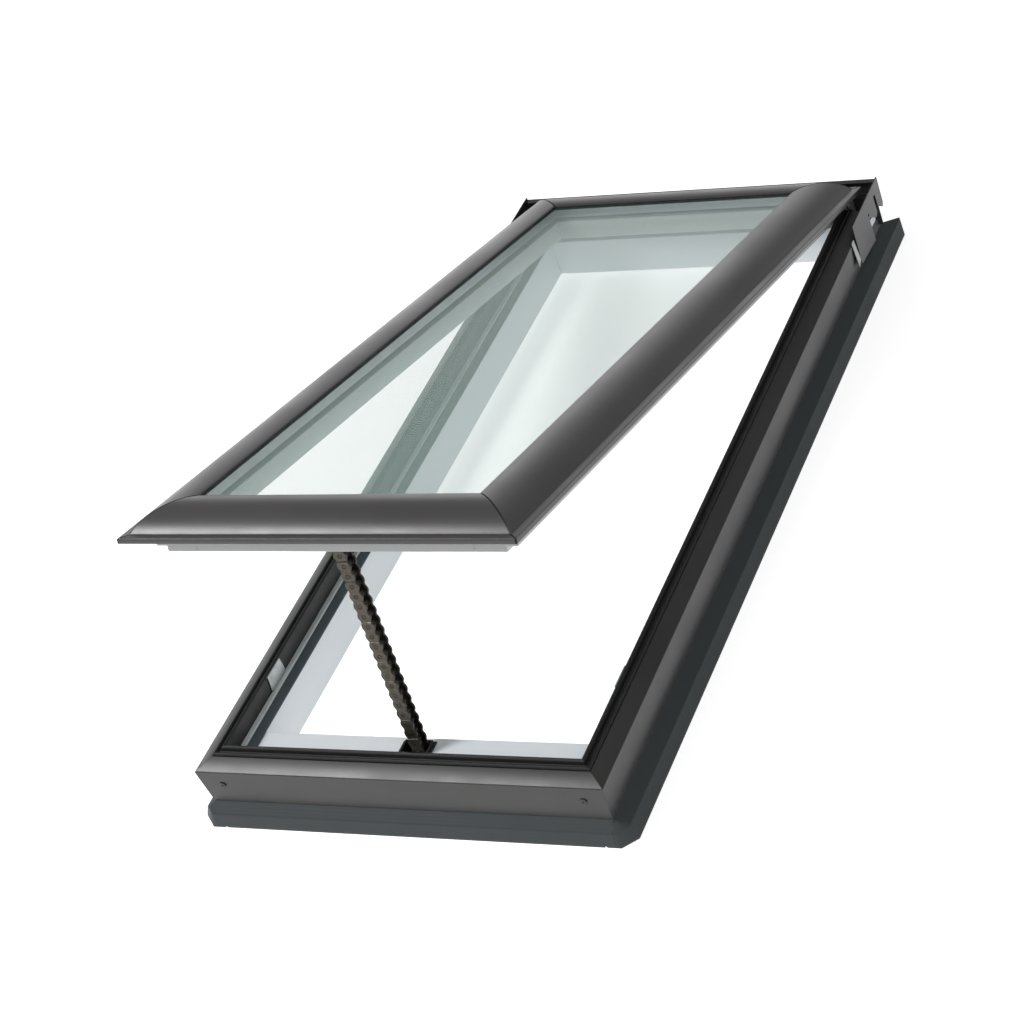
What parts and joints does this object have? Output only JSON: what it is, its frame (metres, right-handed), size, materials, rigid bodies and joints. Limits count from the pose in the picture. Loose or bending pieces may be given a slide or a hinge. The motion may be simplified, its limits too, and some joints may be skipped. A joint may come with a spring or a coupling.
{
  "type": "roof skylight",
  "caption": "Top-hung roof skylight: painted timber frame in dark metal cladding, rubber deck seal, glazed sash pushed open by a chain opener in the sill.",
  "frame": {"origin": "middle of the frame's outline on the deck plane it stands on", "axes": "+X to the right seen from the sill, +Y from the sill up to the head, +Z straight out of the deck"},
  "size_m": [0.584, 1.2205, 0.4274],
  "materials": {
    "painted_pine": "white painted timber, satin",
    "dark_cladding": "powder-coated, fine matt texture",
    "deck_seal_rubber": "matt, faintly ribbed",
    "black_rubber": "matt",
    "grey_rubber": "matt",
    "light_trim": "satin",
    "zinc_steel": "zinc plated",
    "chain_steel": "dull bronze-grey plating",
    "opener_plastic": "moulded, fine grain",
    "bronze": "machined",
    "clear_glass": "clear with a slight green tint",
    "spacer_metal": "mill finish"
  },
  "bodies": {
    "frame": {"frame_jamb_left": "painted_pine", "frame_jamb_right": "painted_pine", "frame_sill": "painted_pine", "frame_head": "painted_pine", "clad_sill": "dark_cladding", "clad_jamb_left": "dark_cladding", "clad_jamb_right": "dark_cladding", "clad_head": "dark_cladding", "hinge_cover_left": "dark_cladding", "hinge_cover_right": "dark_cladding", "deck_seal_front": "deck_seal_rubber", "deck_seal_left": "deck_seal_rubber", "deck_seal_right": "deck_seal_rubber", "weather_gasket_front": "black_rubber", "weather_gasket_left": "black_rubber", "weather_gasket_right": "black_rubber", "weather_gasket_head": "black_rubber", "trim_strip_left": "light_trim", "trim_strip_right": "light_trim", "inner_gasket_left": "grey_rubber", "inner_gasket_right": "grey_rubber", "catch_plate_left": "zinc_steel", "catch_plate_right": "zinc_steel", "cover_clips": "zinc_steel", "clad_screws": "zinc_steel", "frame_hinge_left": "zinc_steel", "frame_hinge_right": "zinc_steel", "hinge_pins": "zinc_steel", "hinge_screws": "zinc_steel", "operator_housing": "opener_plastic", "operator_cover": "opener_plastic", "operator_screws": "zinc_steel", "chain_outlet": "opener_plastic", "chain_outer_plates": "chain_steel", "chain_inner_plates": "chain_steel", "chain_rivets": "chain_steel"},
    "sash": {"sash_stile_left": "painted_pine", "sash_stile_right": "painted_pine", "sash_rail_bottom": "painted_pine", "sash_rail_top": "painted_pine", "sash_clad_left": "dark_cladding", "sash_clad_right": "dark_cladding", "sash_clad_bottom": "dark_cladding", "sash_clad_top": "dark_cladding", "sash_clips": "opener_plastic", "outer_pane": "clear_glass", "spacer_bar": "spacer_metal", "inner_pane": "clear_glass", "glazing_gasket": "black_rubber", "sash_seal": "black_rubber", "sash_hinge_left": "zinc_steel", "sash_hinge_right": "zinc_steel", "chain_bracket": "zinc_steel", "bracket_pin": "zinc_steel"},
    "chain_end": {"chain_end_block": "chain_steel"},
    "chain_wheel": {"chain_sprocket": "zinc_steel", "worm_wheel": "bronze"},
    "winder": {"worm_spindle": "zinc_steel"}
  },
  "joints": [
    {"name": "sash_hinge", "type": "hinge", "parent": "frame", "child": "sash", "pos_m": [0, 0.5725, 0.0921], "axis": [-1, 0, 0], "range_deg": [-15.7, 0], "deforming": ["chain_outer_plates", "chain_inner_plates", "chain_rivets"]},
    {"name": "chain_end_pivot", "type": "hinge", "parent": "sash", "child": "chain_end", "pos_m": [-0.01, -0.4832, 0.37918], "axis": [-1, 0, 0], "range_deg": [-4.3, 0]},
    {"name": "chain_wheel_spin", "type": "hinge", "parent": "frame", "child": "chain_wheel", "pos_m": [-0.00448, -0.52181, 0.041], "axis": [0, -1, 0], "range_deg": [-1490, 0]},
    {"name": "winder_turn", "type": "hinge", "parent": "frame", "child": "winder", "pos_m": [-0.02108, -0.5377, 0.03], "axis": [0, 0, 1], "range_deg": [-14896, 0]}
  ],
  "couplings": [
    {"joint": "chain_end_pivot", "follows": "sash_hinge", "ratio": 0.255},
    {"joint": "chain_wheel_spin", "follows": "sash_hinge", "ratio": 94.75},
    {"joint": "winder_turn", "follows": "sash_hinge", "ratio": 947.5}
  ]
}
